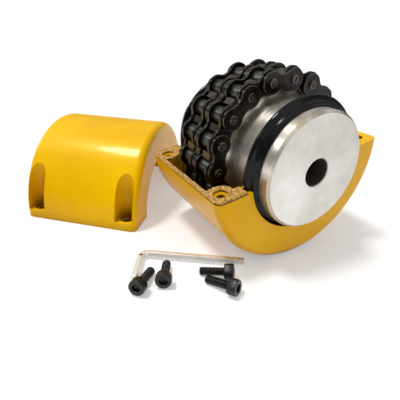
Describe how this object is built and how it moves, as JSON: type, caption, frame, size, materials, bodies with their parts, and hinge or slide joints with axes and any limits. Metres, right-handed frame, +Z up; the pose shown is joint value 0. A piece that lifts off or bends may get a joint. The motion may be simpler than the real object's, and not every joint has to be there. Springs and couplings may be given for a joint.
{
  "type": "roller chain coupling",
  "caption": "Roller chain shaft coupling opened for fitting: sprocket hubs joined by a double-strand chain in one half of a split casing, with seals, gaskets, cap screws and hex key.",
  "frame": {"origin": "centre of the whole laid-out set on the table surface", "axes": "+X along the coupling's shafts towards the front hub, +Z up from the table"},
  "size_m": [0.2828, 0.2492, 0.1382],
  "materials": {
    "yellow_paint": "glossy yellow enamel over cast metal",
    "cork_gasket": "speckled cork and rubber sheet",
    "turned_steel": "lathe-turned bare steel with a light oil film",
    "seal_rubber": "moulded black rubber, slightly glossy",
    "plate_steel": "oiled dark brown oxide",
    "roller_steel": "dark ground steel, oiled",
    "bush_steel": "ground steel",
    "pin_steel": "dark steel with bright riveted ends",
    "clip_steel": "spring steel",
    "black_screw_steel": "black oxide",
    "bright_key_steel": "nickel plate"
  },
  "bodies": {
    "lower_casing": {"lower_casing": "yellow_paint", "left_gasket": "cork_gasket"},
    "seals": {"front_seal": "seal_rubber", "rear_seal": "seal_rubber"},
    "chain": {"bushes_1": "bush_steel", "bushes_2": "bush_steel", "bushes_3": "bush_steel", "bushes_4": "bush_steel", "bushes_5": "bush_steel", "bushes_6": "bush_steel", "bushes_7": "bush_steel", "bushes_8": "bush_steel", "bushes_9": "bush_steel", "connecting_link": "plate_steel", "connecting_pins": "pin_steel", "connecting_plate": "plate_steel", "inner_link_1": "plate_steel", "inner_link_2": "plate_steel", "inner_link_3": "plate_steel", "inner_link_4": "plate_steel", "inner_link_5": "plate_steel", "inner_link_6": "plate_steel", "inner_link_7": "plate_steel", "inner_link_8": "plate_steel", "inner_link_9": "plate_steel", "outer_link_1": "plate_steel", "outer_link_2": "plate_steel", "outer_link_3": "plate_steel", "outer_link_4": "plate_steel", "outer_link_5": "plate_steel", "outer_link_6": "plate_steel", "outer_link_7": "plate_steel", "outer_link_9": "plate_steel", "pins_1": "pin_steel", "pins_2": "pin_steel", "pins_3": "pin_steel", "pins_4": "pin_steel", "pins_5": "pin_steel", "pins_6": "pin_steel", "pins_7": "pin_steel", "pins_9": "pin_steel", "rollers_1": "roller_steel", "rollers_2": "roller_steel", "rollers_3": "roller_steel", "rollers_4": "roller_steel", "rollers_5": "roller_steel", "rollers_6": "roller_steel", "rollers_7": "roller_steel", "rollers_8": "roller_steel", "rollers_9": "roller_steel"},
    "front_hub": {"front_hub": "turned_steel"},
    "rear_hub": {"rear_hub": "turned_steel"},
    "spring_clip": {"spring_clip": "clip_steel"},
    "upper_casing": {"upper_casing": "yellow_paint", "right_gasket": "cork_gasket"},
    "hex_key": {"hex_key": "bright_key_steel"},
    "cap_screw_1": {"cap_screw_1": "black_screw_steel"},
    "cap_screw_2": {"cap_screw_2": "black_screw_steel"},
    "cap_screw_3": {"cap_screw_3": "black_screw_steel"},
    "cap_screw_4": {"cap_screw_4": "black_screw_steel"}
  },
  "joints": [
    {"name": "set_lift_out", "type": "slide", "parent": "lower_casing", "child": "seals", "axis": [0, -0.1867, 0.9824], "range_m": [0, 0.12]},
    {"name": "coupling_spin", "type": "hinge", "parent": "seals", "child": "chain", "pos_m": [0.06682, 0.05013, 0.0745], "axis": [1, 0, 0], "continuous": true},
    {"name": "front_hub_play", "type": "hinge", "parent": "chain", "child": "front_hub", "pos_m": [0.06682, 0.05013, 0.0745], "axis": [1, 0, 0], "range_deg": [-1, 1]},
    {"name": "rear_hub_play", "type": "hinge", "parent": "chain", "child": "rear_hub", "pos_m": [0.06682, 0.05013, 0.0745], "axis": [1, 0, 0], "range_deg": [-1, 1]},
    {"name": "spring_clip_slide", "type": "slide", "parent": "chain", "child": "spring_clip", "axis": [0, -0.9696, 0.2448], "range_m": [0, 0.009]},
    {"name": "upper_casing_lift", "type": "slide", "parent": "lower_casing", "child": "upper_casing", "axis": [0, 0, 1], "range_m": [0, 0.15]},
    {"name": "hex_key_lift", "type": "slide", "parent": "lower_casing", "child": "hex_key", "axis": [-0.5499, -0.6198, 0.5599], "range_m": [0, 0.06]},
    {"name": "cap_screw_1_lift", "type": "slide", "parent": "lower_casing", "child": "cap_screw_1", "axis": [0, -0.7071, 0.7071], "range_m": [0, 0.06]},
    {"name": "cap_screw_2_lift", "type": "slide", "parent": "lower_casing", "child": "cap_screw_2", "axis": [0, -0.7071, 0.7071], "range_m": [0, 0.06]},
    {"name": "cap_screw_3_lift", "type": "slide", "parent": "lower_casing", "child": "cap_screw_3", "axis": [0, -0.7071, 0.7071], "range_m": [0, 0.06]},
    {"name": "cap_screw_4_lift", "type": "slide", "parent": "lower_casing", "child": "cap_screw_4", "axis": [0, -0.7071, 0.7071], "range_m": [0, 0.06]}
  ]
}
